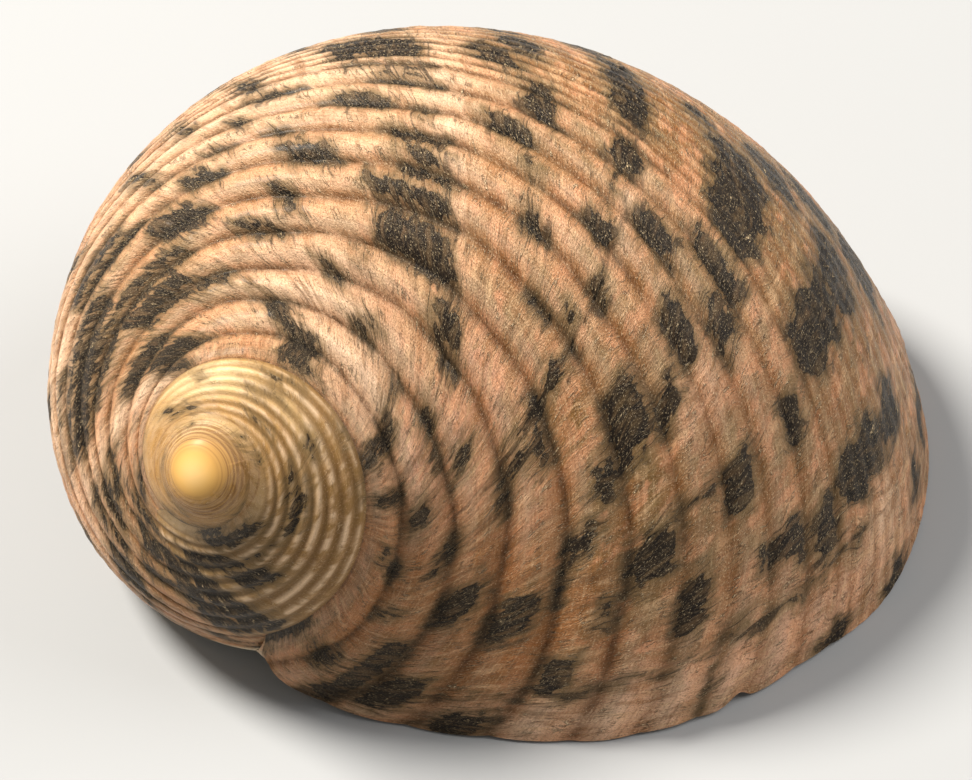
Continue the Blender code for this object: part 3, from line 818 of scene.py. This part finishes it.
def body_values(back, cord, ends):
    """Attributes of the last turn's points, by name."""
    deg = growth_degrees(back, cord)
    per_degree, per_cord = scales(back, cord)
    share, width = cord_profile(back, cord)
    off_middle = np.abs(2.0 * share - 1.0)
    broad = broad_share(width)
    spire = spire_share(back)

    # Markings bow with the growth lines across each cord, and narrow ones pinch in between
    bowed = MARK_BOW * off_middle ** 2 * broad
    bent = deg + bowed / per_degree + MARK_WAVER * np.sin(cord * 120.0 + 0.9 * deg)
    field, ink = mark_field(MARKS + hidden_marks(), bent, cord, per_degree, per_cord)
    field -= MARK_PINCH * (1.0 - broad) * (1.0 - off_middle) * smoothstep((deg - 60.0) / 30.0)

    fine_line, broad_line = GROOVE_LINES
    from_edge = np.minimum(share, 1.0 - share) * width
    groove = np.exp(-(from_edge / (fine_line + (broad_line - fine_line) * broad)) ** 2)
    groove *= 1.0 - smoothstep((cord - 1.0) / 0.25)
    groove *= 1.0 - SOFT_GROOVE * soft_share(back, cord)
    groove = groove * (1.0 - spire) + spire * spire_groove(back, cord)

    olive = area_weight(OLIVE_AREAS, deg, cord)
    orange = area_weight(ORANGE_AREAS, deg, cord)
    rising, falling = CORD_SIDES
    lee = np.exp(-((share - rising) / CORD_SIDE_WIDTH) ** 2)
    lee -= np.exp(-((share - falling) / CORD_SIDE_WIDTH) ** 2)
    lee *= broad * (1.0 - spire) * (1.0 - 0.6 * np.maximum(olive, orange))
    return {
        "growth": growth_mm(np.radians(deg)) + bowed,
        "across": across_mm(back, cord),
        "blotch": field,
        "ink": ink,
        "groove": groove,
        "pink": area_weight(PINK_AREAS, deg, cord),
        "olive": np.maximum(olive, 0.8 * spire),
        "orange": orange,
        "pale": area_weight(PALE_AREAS, deg, cord),
        "spire": spire * (cord < LIP_START_CORD),
        "inside": smoothstep((cord - ends[:, None]) / RIM_CREAM + 1.0),
        "lee": lee,
    }


def body_sheet(build):
    """The last turn, with its columns, rows, point numbers and places, last rows and the seam's row."""
    backs = body_columns()
    rows, seam_row = body_cords()
    ends = np.array([rim_cord(b) for b in backs])
    back = np.repeat(backs[:, None], len(rows), axis=1)
    full_cord = np.repeat(rows[None, :], len(backs), axis=0)
    full_cord = full_cord + groove_shift(back, full_cord)
    clipped = full_cord > ends[:, None] - CLIP_SHARE * np.gradient(rows)[None, :]
    cord = np.where(clipped, ends[:, None], full_cord)
    points = scalloped(body_points(back, cord, full_cord, ends), rows, back, cord)
    ids = build.add(points, **body_values(back, cord, ends))
    last = np.argmax(clipped, axis=1)
    for i, end in enumerate(last):
        build.join(ids[i, end + 1:], np.full(len(rows) - end - 1, ids[i, end]))
    build.quads(ids)
    return SimpleNamespace(backs=backs, rows=rows, ids=ids, points=points, last=last, seam_row=seam_row)


def dome(build, ids, ring):
    """Smooth golden dome inside a ring of points, over the oldest turn, with a painted highlight on its tip.
    """
    everywhere = {"spire": 1.0, "growth": 60.0, "groove": 0.5, "blotch": -1.0}
    middle = APEX + NUCLEUS_TOP * UP
    loops = [ids]
    for share in DOME_LOOPS:
        loop = onto_nucleus(middle + (ring - middle) * share, np.ones(len(ring)))
        away = axis_distance(loop)
        # The pale tint at the dome's middle is a painted highlight, fading out from the tip
        pale = TIP_HIGHLIGHT * (1.0 - smoothstep(away / TIP_HIGHLIGHT_REACH))
        loops.append(build.add(loop, away=away, orange=gold_share(away), pale=pale, **everywhere))
    crown = build.add(middle[None, :], orange=1.0, pale=TIP_HIGHLIGHT, **everywhere)
    build.cap(loops, crown[0])


def old_turns(build, body):
    """The spire: older turns between the last turn's seam and the apex."""
    later = np.concatenate([body.backs[1:] + turns * LIP_START_BACK for turns in (1.0, 2.0)])
    later = later[later < OLD_TURNS_END]
    cords = np.linspace(0.0, LIP_START_CORD, OLD_TURN_ROWS)
    back = np.repeat(later[:, None], len(cords), axis=1)
    cord = np.repeat(cords[None, :], len(later), axis=0)
    deg = np.degrees(back)
    seen = seen_cord(back, cord)
    smooth, normal = sheet_points(back, cord)
    rise = spire_rise(back, seen) * np.clip((LIP_START_CORD - cord) / SEAM_FADE, 0.0, 1.0)
    domed = smoothstep((deg - NUCLEUS_FROM) / NUCLEUS_BY)
    grid = onto_nucleus(smooth + rise[..., None] * normal, domed)

    # Each column is drawn to the seam, which is the first row of the turn below
    seam = np.concatenate([body.points[:, 0], grid[:, 0]])
    pull = smoothstep(cords / LIP_START_CORD)
    for i in range(len(later)):
        grid[i] += pull[:, None] * (seam[i + 1] - grid[i, -1])
    grid[:, :-1] = onto_nucleus(grid[:, :-1], domed[:, :-1])

    per_degree, per_cord = scales(back, cord)
    field, ink = mark_field(SPIRE_MARKS, deg, seen, per_degree, per_cord)
    away = axis_distance(grid)
    seam_line = np.exp(-((LIP_START_CORD - cord) * per_cord / SEAM_LINE) ** 2)
    new = build.add(
        grid,
        growth=growth_mm(back),
        across=across_mm(back, cord),
        blotch=field,
        ink=ink,
        groove=np.clip(spire_groove(back, seen) + seam_line, 0.0, 1.0),
        pale=area_weight(SPIRE_PALE_AND_HIGHLIGHT_AREAS, deg, seen),
        spire=1.0,
        olive=0.9 * smoothstep((490.0 - deg) / 90.0),
        orange=gold_share(away) * smoothstep((deg - 400.0) / 60.0),
        away=away,
    )
    seam_ids = np.concatenate([body.ids[:, 0], new[:, 0]])
    build.join(new[:, -1], seam_ids[1:len(later) + 1])
    to_seam = slice(0, body.seam_row + 1)
    build.zip_rows(body.ids[-1, to_seam], body.rows[to_seam], new[0], cords)
    build.quads(new)
    open_seam = slice(-len(body.backs), -1)
    ring_ids = np.concatenate([new[-1, :-1], seam_ids[open_seam]])
    dome(build, ring_ids, np.concatenate([grid[-1, :-1], seam[open_seam]]))


def cream_share(points, lip_start):
    """Share of the cream tint, which fades out toward the place where the lip starts."""
    return smoothstep((np.linalg.norm(points - lip_start, axis=-1) - CREAM_FROM) / CREAM_BLEND)


def deck_edge(shares, front_end, lip_start):
    """Edge of the deck along the opening, from the front end to where the lip starts."""
    line = np.outer(1.0 - shares, front_end) + np.outer(shares, lip_start)
    climbed = smoothstep((shares - EDGE_CLIMBS_FROM) / (1.0 - EDGE_CLIMBS_FROM)) ** EDGE_CLIMB_POWER
    line[:, 2] = front_end[2] * (1.0 - smoothstep(shares / FRONT_FLATTENS_BY))
    line[:, 2] += lip_start[2] * climbed
    bow = EDGE_BOW * np.sin(math.pi * shares)
    for place in TEETH:
        bow -= TOOTH_HEIGHT * np.exp(-((shares - place) / TOOTH_WIDTH) ** 2)
    return line - np.outer(bow, OPENING_SIDE)


def deck_patch(shares, rim, edge, side):
    """Places of the deck between the shell's rim and the opening, closed at the lip's start by the side."""
    across = np.linspace(0.0, 1.0, len(side))[:, None]
    patch = np.zeros((len(shares), len(side), 3))
    for i, share in enumerate(shares):
        even = smoothstep((share - EDGE_CLIMBS_FROM + EDGE_EVEN_BEFORE) / EDGE_EVEN_OVER)
        rim_drop = even * (1.0 - across) + (1.0 - even) * (1.0 - smoothstep(across / DECK_EDGE_SHARE))
        edge_drop = even * across + (1.0 - even) * smoothstep((across - 1.0) / DECK_EDGE_SHARE + 1.0)
        from_rim = np.hstack([1.0 - across, 1.0 - across, rim_drop])
        from_edge = np.hstack([across, across, edge_drop])
        end = side - (from_rim * side[0] + from_edge * side[-1])
        patch[i] = from_rim * rim[i] + from_edge * edge[i] + share ** DECK_SIDE_POWER * end
    return patch


def deck(build, body):
    """Deck beside the opening. Returns its edge and the edge's point numbers, without their ends."""
    columns = np.arange(len(body.backs))
    shares = body.backs / LIP_START_BACK
    rim_ids = body.ids[columns, body.last]
    rim = body.points[columns, body.last]
    lip_start = body.points[0, 0]
    side_ids = body.ids[-1, body.seam_row:body.last[-1] + 1][::-1]
    side = body.points[-1, body.seam_row:body.last[-1] + 1][::-1].copy()
    side[-1] = lip_start
    edge = deck_edge(shares, rim[0], lip_start)
    patch = deck_patch(shares, rim, edge, side)

    # Fine folds run over the deck from the teeth, sunk into it so that it still lies flat
    across = np.linspace(0.0, 1.0, len(side))
    place = shares[:, None] + 0.0 * across
    fold = 0.5 + 0.5 * np.sin(place * 90.0 + 3.0 * across + 2.0 * np.sin(place * 17.0))
    fades = smoothstep((across - 0.45) / 0.4) * (1.0 - smoothstep((place - 0.8) / 0.15))
    sunk = FOLD_DEPTH * fold ** 2 * fades * np.sin(math.pi * np.clip(across * 1.02, 0, 1))
    patch[..., 2] = np.maximum(patch[..., 2], 0.0) + sunk
    cream = cream_share(patch, lip_start)
    ids = build.add(patch, inside=cream, growth=place * 40.0, across=across * 8.0, blotch=-1.0)
    build.join(ids[:, 0], rim_ids)
    build.join(ids[0], np.full(len(side), rim_ids[0]))
    build.join(ids[-1], side_ids)
    build.quads(ids)
    return edge[1:-1], ids[1:-1, -1]


def lip_band(build, body):
    """Rounded thickness of the lip, thinning out to nothing at both ends. Returns its outer line, the
    places along it from 0 to 1 and its inner point numbers."""
    rows = body.last[0] + 1
    lip = body.points[0, :rows]
    lip_ids = body.ids[0, :rows]
    inward = np.cross(np.gradient(lip, axis=0), np.array([0.0, 0.0, 1.0]))
    inward[:, 2] = 0.0
    inward /= np.linalg.norm(inward, axis=1)[:, None]
    length = np.concatenate([[0.0], np.cumsum(np.linalg.norm(np.diff(lip, axis=0), axis=1))])
    place = length / length[-1]
    first_taper, last_taper = LIP_TAPERS
    width = LIP_THICKNESS * smoothstep(place / first_taper) * smoothstep((1.0 - place) / last_taper)
    rounded = [lip_ids]
    for share, climb in LIP_ROUNDING:
        band = lip - (share * width)[:, None] * inward
        band[:, 2] += LIP_BEVEL * climb * width
        tone = (0.35 + 0.65 * share) * cream_share(band, lip[0])
        rounded.append(build.add(band, inside=tone, growth=0.0, across=place * 40.0, blotch=-1.0))
        build.join(rounded[-1][[0, -1]], lip_ids[[0, -1]])
    build.quads(np.stack(rounded))
    return lip, place, rounded[-1]


def hollow(build, lip, place, lip_ids, edge, edge_ids):
    """Hollow behind the opening, with low ridges just inside the lip."""
    line = np.concatenate([lip, edge])
    middle = np.concatenate([lip[::4], edge[::6]]).mean(axis=0)
    ridges_at = smoothstep((place - 0.15) / 0.2) * smoothstep((0.95 - place) / 0.15)
    ridges = RIDGE_SHARE * (0.5 + 0.5 * np.cos(place * 2.0 * math.pi * RIDGES)) * ridges_at
    loops = [np.concatenate([lip_ids, edge_ids])]
    for m in range(1, HOLLOW_RINGS + 1):
        depth = (m / HOLLOW_RINGS) ** HOLLOW_RING_POWER
        ridge = ridges * np.exp(-((m - 2.0) / 2.0) ** 2)
        inner = 1.0 - (WALL_SHARE + WALL_GROWS * depth) - np.concatenate([ridge, np.zeros(len(edge))])
        ring = middle + (line - middle) * inner[:, None]
        run = np.linspace(0.0, 1.0, len(edge))
        reach = SHELF_REACH * smoothstep(depth / SHELF_FULL_AT) * np.sin(math.pi * run)
        ring[len(lip):] -= np.outer(reach, OPENING_SIDE)
        ring = turned(ring, HOLLOW_TURN * depth)
        around = np.arange(len(ring)) * 0.1
        loops.append(build.add(ring, inside=1.0, growth=depth * 20.0, across=around, blotch=-1.0))
    end_point = turned(ring.mean(axis=0)[None, :], HOLLOW_END_TURN)
    end = build.add(end_point, inside=1.0, blotch=-1.0)
    build.cap(loops, end[0])


class Tree:
    """Short calls for building a material's nodes."""

    def __init__(self, name):
        self.material = bpy.data.materials.new(name)
        self.material.use_nodes = True
        self.nodes = self.material.node_tree.nodes
        self.links = self.material.node_tree.links
        self.surface = self.nodes["Principled BSDF"].inputs

    def put(self, socket, value):
        if isinstance(value, bpy.types.NodeSocket):
            self.links.new(value, socket)
        elif isinstance(value, tuple):
            socket.default_value = (*value, 1.0)
        else:
            socket.default_value = value

    def attribute(self, name):
        node = self.nodes.new("ShaderNodeAttribute")
        node.attribute_name = name
        return node.outputs["Fac"]

    def math(self, operation, a, b=0.0):
        node = self.nodes.new("ShaderNodeMath")
        node.operation = operation
        self.put(node.inputs[0], a)
        self.put(node.inputs[1], b)
        return node.outputs[0]

    def times(self, first, *others):
        for other in others:
            first = self.math("MULTIPLY", first, other)
        return first

    def plus(self, first, *others):
        for other in others:
            first = self.math("ADD", first, other)
        return first

    def rest(self, share):
        """What a share leaves of one."""
        return self.math("SUBTRACT", 1.0, share)

    def apart(self, a, b):
        """Distance between two values."""
        return self.math("ABSOLUTE", self.math("SUBTRACT", a, b))

    def ramp(self, value, low, high, top=1.0, bottom=0.0):
        """Smooth step from bottom to top while the value goes from low to high."""
        node = self.nodes.new("ShaderNodeMapRange")
        node.interpolation_type = "SMOOTHSTEP"
        self.put(node.inputs["Value"], value)
        self.put(node.inputs["From Min"], low)
        self.put(node.inputs["From Max"], high)
        self.put(node.inputs["To Min"], bottom)
        self.put(node.inputs["To Max"], top)
        return node.outputs["Result"]

    def mix(self, share, a, b):
        node = self.nodes.new("ShaderNodeMix")
        node.data_type = "RGBA"
        self.put(node.inputs["Factor"], share)
        self.put(node.inputs["A"], a)
        self.put(node.inputs["B"], b)
        return node.outputs["Result"]

    def layers(self, colour, *coats):
        """Coats of colour laid over a first one, each by its share."""
        for share, coat in coats:
            colour = self.mix(share, colour, coat)
        return colour

    def noise(self, x, y, z=0.0, scale=1.0, detail=2.0, roughness=0.5):
        """Noise over the sheet. x and y are a place, or a place and what it is multiplied by."""
        place = self.nodes.new("ShaderNodeCombineXYZ")
        node = self.nodes.new("ShaderNodeTexNoise")
        for socket, value in zip(place.inputs, (x, y, z)):
            self.put(socket, self.times(*value) if isinstance(value, tuple) else value)
        self.put(node.inputs["Vector"], place.outputs[0])
        self.put(node.inputs["Scale"], scale)
        self.put(node.inputs["Detail"], detail)
        self.put(node.inputs["Roughness"], roughness)
        return node.outputs["Fac"]

    def bump(self, height, distance, strength, normal=None):
        node = self.nodes.new("ShaderNodeBump")
        self.put(node.inputs["Distance"], distance)
        self.put(node.inputs["Strength"], strength)
        self.put(node.inputs["Height"], height)
        if normal is not None:
            self.put(node.inputs["Normal"], normal)
        return node.outputs["Normal"]


def patterns(tree):
    """The sheet's attributes, and the patterns and shares that several layers have in common."""
    p = SimpleNamespace(**{name: tree.attribute(name) for name in Builder.NAMES})
    slow = tree.noise(p.growth, p.across, scale=0.35, detail=1.0)
    curl = tree.noise(p.growth, p.across, 9.0, 1.3, 1.0)
    p.bent = tree.plus(p.growth, tree.plus(slow, tree.times(curl, 0.32)))
    p.threads = tree.noise((p.bent, 13.0), (p.across, 4.0), roughness=0.6)
    p.grain = tree.noise((p.growth, 15.0), (p.across, 14.0))
    p.streaks = tree.noise((p.bent, 2.2), (p.across, 0.45), roughness=0.55)
    p.clouds = tree.noise(p.growth, p.across, scale=0.45, detail=3.0, roughness=0.55)
    p.body = tree.rest(p.spire)
    p.dome = tree.times(tree.math("POWER", p.orange, 3.0), p.spire)
    p.off_dome = tree.rest(tree.times(p.dome, 0.92))
    p.rough_part = tree.times(p.off_dome, tree.rest(tree.times(p.spire, 0.55)))
    return p


def body_ground(tree, p):
    """Ground of the last turn: brown near the lip, partly painted shade of the lower front, peach further
    back, with soft areas of tint, some of them partly painted light and shade.
    """
    patches = tree.noise(p.growth, (p.across, 0.8), 2.0, 1.2, roughness=0.55)
    zones = tree.noise((p.growth, 0.33), (p.across, 0.60), 4.0)
    cloud = tree.ramp(p.clouds, 0.35, 0.65)
    # The darker brown of the young part near the lip is partly painted shade, where it faces down and
    # forward
    young_with_shade = tree.mix(cloud, (0.470, 0.268, 0.155), (0.320, 0.170, 0.082))
    old = tree.mix(cloud, (0.700, 0.400, 0.230), (0.540, 0.290, 0.150))
    return tree.layers(
        tree.mix(tree.ramp(p.growth, 13.0, 29.0), young_with_shade, old),
        (tree.ramp(zones, 0.52, 0.68, 0.45), (0.560, 0.265, 0.160)),
        (tree.ramp(zones, 0.48, 0.34, 0.45), (0.260, 0.160, 0.070)),
        (p.pink, (0.640, 0.330, 0.210)),
        (p.olive, (0.190, 0.108, 0.038)),
        (tree.ramp(patches, 0.51, 0.61, 0.66), (0.690, 0.315, 0.165)),
        (tree.ramp(patches, 0.49, 0.38, 0.62), (0.240, 0.162, 0.078)),
        # The orange coat is partly painted shade, by the lip and on the lower left
        (tree.times(p.orange, 0.80), (0.330, 0.110, 0.022)),
        # The pale coat is partly painted light along the left edge of the last turn
        (tree.times(p.pale, 0.85), (0.900, 0.610, 0.410)),
    )


def spire_ground(tree, p):
    """Ground of the spire: yellow-tan, brown toward the last turn, with a golden tip, a painted highlight on
    the tip and on the spire's top, and fine rings.
    """
    ring = tree.ramp(tree.noise((p.away, 13.0), p.away, 6.0), 0.48, 0.57, 0.85)
    ringed = tree.times(tree.ramp(p.away, 0.65, 1.10), tree.ramp(p.away, 1.95, 1.60), ring, p.spire)
    return tree.layers(
        tree.mix(p.olive, (0.500, 0.265, 0.078), (0.235, 0.128, 0.040)),
        (p.orange, (0.600, 0.320, 0.066)),
        # The pale coat is partly painted highlight, on the dome's tip and on the top of the spire
        (tree.times(p.pale, 0.9), (0.880, 0.640, 0.320)),
        (ringed, (0.230, 0.095, 0.018)),
    )


def streaked(tree, p, ground):
    """Streaks along the growth lines and striae along the cords."""
    striae = tree.noise((p.growth, 0.9), (p.across, 8.0), detail=3.0, roughness=0.6)
    return tree.layers(
        ground,
        (tree.times(tree.ramp(p.streaks, 0.51, 0.66, 0.62), p.rough_part), (0.200, 0.092, 0.032)),
        (tree.times(tree.ramp(p.streaks, 0.47, 0.32, 0.50), p.rough_part), (0.740, 0.460, 0.250)),
        (tree.times(tree.ramp(striae, 0.52, 0.64, 0.42), p.rough_part), (0.170, 0.085, 0.034)),
        (tree.times(tree.ramp(striae, 0.47, 0.36, 0.28), p.rough_part), (0.720, 0.480, 0.270)),
    )


def corded(tree, p, ground):
    """Cords that start greyish and end orange, with a groove between two of them that is orange-brown and
    darkened at its bottom by painted shade. On the spire they are whitish and broken, and the grooves
    between them are brown."""
    uneven = tree.ramp(tree.noise(p.growth, p.across, scale=1.1, detail=3.0), 0.3, 0.7, bottom=0.45)
    broken = tree.ramp(tree.noise(p.growth, (p.across, 0.4), scale=1.6), 0.42, 0.58, bottom=0.05)
    crest = tree.math("POWER", tree.rest(p.groove), 2.0)
    return tree.layers(
        ground,
        (tree.ramp(p.lee, 0.0, 1.0, 0.42), (0.400, 0.280, 0.190)),
        (tree.ramp(p.lee, 0.0, -1.0, 0.38), (0.620, 0.295, 0.145)),
        # The orange-brown of the grooves is the shell's own colour; the near-black at their bottom is partly
        # painted shade
        (tree.times(tree.math("POWER", p.groove, 0.45), uneven, p.body, 0.72), (0.300, 0.105, 0.022)),
        (tree.times(tree.math("POWER", p.groove, 1.8), uneven, p.body, 0.88), (0.055, 0.020, 0.007)),
        (tree.times(crest, broken, p.spire, p.off_dome, 0.85), (0.760, 0.535, 0.340)),
        (tree.times(p.groove, p.spire, p.off_dome, 0.72), (0.140, 0.068, 0.020)),
    )


def threaded(tree, p, ground):
    """Patchy pale and dark threads, fine pale lines painted as glints with a painted shadow on one side,
    small bright grains that are partly painted sparkle, and pits.
    """
    patchy = tree.ramp(tree.noise(p.growth, p.across, scale=0.9), 0.35, 0.65, bottom=0.35)
    patchy = tree.times(patchy, p.rough_part)
    # Each lamella is a crisp pale line painted as a glint, with a painted shadow just behind it
    lamella = tree.noise((p.bent, 4.2), (p.across, 0.7), detail=1.0)
    crisp = tree.ramp(tree.apart(lamella, 0.5), 0.017, 0.004)
    behind = tree.ramp(tree.apart(lamella, 0.536), 0.030, 0.008)
    cluster = tree.ramp(tree.noise((p.growth, 1.2), (p.across, 1.9), 3.0), 0.50, 0.62, bottom=0.06)
    # Glints are painted highlights on the lamellae; specks are bright grains, partly painted sparkle
    p.glint = tree.times(crisp, cluster, tree.ramp(p.grain, 0.44, 0.58, bottom=0.25))
    p.speck = tree.times(tree.ramp(p.grain, 0.60, 0.70), p.rough_part)
    return tree.layers(
        ground,
        (tree.times(tree.ramp(p.threads, 0.53, 0.64), patchy, 0.17), (0.760, 0.500, 0.290)),
        (tree.times(tree.ramp(p.threads, 0.49, 0.38), patchy, 0.18), (0.095, 0.046, 0.018)),
        (tree.times(behind, cluster, p.rough_part, 0.66), (0.075, 0.036, 0.015)),
        (tree.times(p.glint, p.rough_part, 0.72), (0.900, 0.680, 0.420)),
        (tree.times(p.speck, 0.42), (0.920, 0.700, 0.450)),
        (tree.times(tree.ramp(p.grain, 0.45, 0.34), p.rough_part, 0.50), (0.100, 0.050, 0.022)),
    )


def blotched(tree, p, ground):
    """Charcoal blotches with edges ragged along the growth lines, streaked by the threads."""
    coarse = tree.noise((p.growth, 1.6), (p.across, 1.8), detail=3.0, roughness=0.6)
    fingers = tree.noise((p.bent, 3.0), (p.across, 0.8), 7.0, detail=1.5)
    field = p.blotch
    for pattern, reach in ((p.threads, 0.15), (coarse, 0.84), (fingers, 0.75)):
        field = tree.plus(field, tree.times(tree.math("SUBTRACT", pattern, 0.5), reach))
    field = tree.math("SUBTRACT", field, tree.times(tree.rest(p.ink), 0.30))
    bare = tree.times(tree.ramp(fingers, 0.50, 0.66), tree.rest(p.groove), 0.40)
    mask = tree.times(tree.ramp(field, -0.03, 0.08), tree.rest(bare))

    # Thin dark lines leave the blotches along the growth lines, and the grooves next to them are dark
    vein = tree.noise((p.bent, 1.7), (p.across, 0.22), 5.0, detail=1.0)
    vein = tree.ramp(tree.apart(vein, 0.5), 0.022, 0.008)
    vein = tree.math("MAXIMUM", vein, tree.times(p.groove, p.body))
    vein = tree.times(vein, tree.ramp(field, -0.60, -0.08, 0.75), p.rough_part)
    ground = tree.layers(
        ground,
        (tree.ramp(field, -0.90, -0.10, 0.30), (0.210, 0.150, 0.075)),
        (tree.ramp(field, -0.40, 0.02, 0.66), (0.125, 0.078, 0.032)),
    )
    # The blotches show the threads' painted glints and sparkles too
    char = tree.layers(
        tree.mix(tree.ramp(coarse, 0.35, 0.7), (0.006, 0.004, 0.004), (0.026, 0.017, 0.010)),
        (tree.times(p.groove, 0.8), (0.005, 0.004, 0.004)),
        (tree.ramp(p.threads, 0.54, 0.66, 0.22), (0.250, 0.170, 0.090)),
        (tree.times(p.glint, 0.80), (0.740, 0.550, 0.320)),
        (tree.times(p.speck, 0.38), (0.800, 0.620, 0.370)),
    )
    return tree.mix(tree.math("MAXIMUM", mask, vein), ground, char)


def shell_material():
    """Layers of colour on the outside, and cream porcelain on the inner lip and in the hollow."""
    tree = Tree("natural_shell")
    p = patterns(tree)
    colour = tree.mix(p.spire, body_ground(tree, p), spire_ground(tree, p))
    for layer in (streaked, corded, threaded, blotched):
        colour = layer(tree, p, colour)
    cream = tree.mix(tree.ramp(p.clouds, 0.3, 0.7), (0.820, 0.720, 0.560), (0.760, 0.640, 0.440))
    rough = tree.plus(tree.ramp(p.grain, 0.35, 0.7, 0.50, 0.30), tree.times(p.dome, 0.30))
    strength = tree.times(tree.rest(tree.times(p.inside, 0.85)), p.rough_part)
    relief = tree.plus(tree.times(p.threads, 0.55), tree.times(p.glint, 0.80), tree.times(p.streaks, 1.20))
    normal = tree.bump(relief, 0.00006, strength)
    tree.put(tree.surface["Base Color"], tree.mix(p.inside, colour, cream))
    tree.put(tree.surface["Roughness"], tree.times(rough, tree.rest(tree.times(p.inside, 0.35))))
    tree.put(tree.surface["Normal"], tree.bump(p.grain, 0.00004, strength, normal))
    tree.put(tree.surface["Specular IOR Level"], 0.22)
    tree.put(tree.surface["Specular Tint"], (1.0, 0.86, 0.68))
    tree.put(tree.surface["Coat Weight"], 0.03)
    tree.put(tree.surface["Coat Roughness"], 0.18)
    return tree.material


def make_shell():
    build = Builder()
    body = body_sheet(build)
    build.join(body.ids[-1, body.seam_row], body.ids[0, 0])
    old_turns(build, body)
    edge, edge_ids = deck(build, body)
    lip, place, lip_ids = lip_band(build, body)
    hollow(build, lip, place, lip_ids, edge, edge_ids)
    data = build.mesh("nerite_shell")
    shell = bpy.data.objects.new("nerite_shell", data)
    bpy.context.scene.collection.objects.link(shell)
    bpy.context.view_layer.objects.active = shell
    shell.select_set(True)
    bpy.ops.object.mode_set(mode="EDIT")
    bpy.ops.mesh.select_all(action="SELECT")
    bpy.ops.mesh.normals_make_consistent(inside=False)
    bpy.ops.object.mode_set(mode="OBJECT")
    data.shade_smooth()
    data.set_sharp_from_angle(angle=math.radians(50.0))
    data.materials.append(shell_material())
    return shell


def make_floor():
    size = FLOOR_SIZE
    data = bpy.data.meshes.new("floor")
    corners = [(-size, -size, 0.0), (size, -size, 0.0), (size, size, 0.0), (-size, size, 0.0)]
    data.from_pydata(corners, [], [(0, 1, 2, 3)])
    floor = bpy.data.objects.new("floor", data)
    bpy.context.scene.collection.objects.link(floor)
    tree = Tree("pale_floor")
    tree.put(tree.surface["Base Color"], (0.355, 0.36, 0.365))
    tree.put(tree.surface["Roughness"], 0.9)
    data.materials.append(tree.material)
    return floor


def make_light(name, place, aim, size, power, colour):
    data = bpy.data.lights.new(name, "AREA")
    data.shape = "DISK"
    data.size = size
    data.energy = power
    data.color = colour
    light = bpy.data.objects.new(name, data)
    light.location = place
    light.rotation_euler = (Vector(aim) - Vector(place)).to_track_quat("-Z", "Y").to_euler()
    bpy.context.scene.collection.objects.link(light)


def make_camera():
    data = bpy.data.cameras.new("camera")
    data.lens = LENS
    data.sensor_width = SENSOR_WIDTH
    data.clip_start = 0.01
    camera = bpy.data.objects.new("camera", data)
    camera.location = [value * MM for value in CAMERA_PLACE]
    camera.rotation_euler = (CAMERA_TILT, 0.0, 0.0)
    bpy.context.scene.collection.objects.link(camera)
    bpy.context.scene.camera = camera


def make_world():
    world = bpy.data.worlds.new("studio")
    world.use_nodes = True
    world.node_tree.nodes["Background"].inputs["Color"].default_value = (1.0, 0.985, 0.96, 1.0)
    world.node_tree.nodes["Background"].inputs["Strength"].default_value = 0.30
    bpy.context.scene.world = world


shell = make_shell()
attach(shell, "root")
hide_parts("shell")
make_floor()
make_camera()
make_world()
make_light("key", (-0.215, 0.10, 0.30), (0.0, 0.0, 0.005), 0.12, 3.4, (1.0, 0.955, 0.88))
make_light("fill", (0.24, 0.02, 0.24), (0.0, 0.0, 0.005), 0.25, 0.75, (1.0, 0.98, 0.96))
bpy.context.scene.view_settings.view_transform = "Standard"
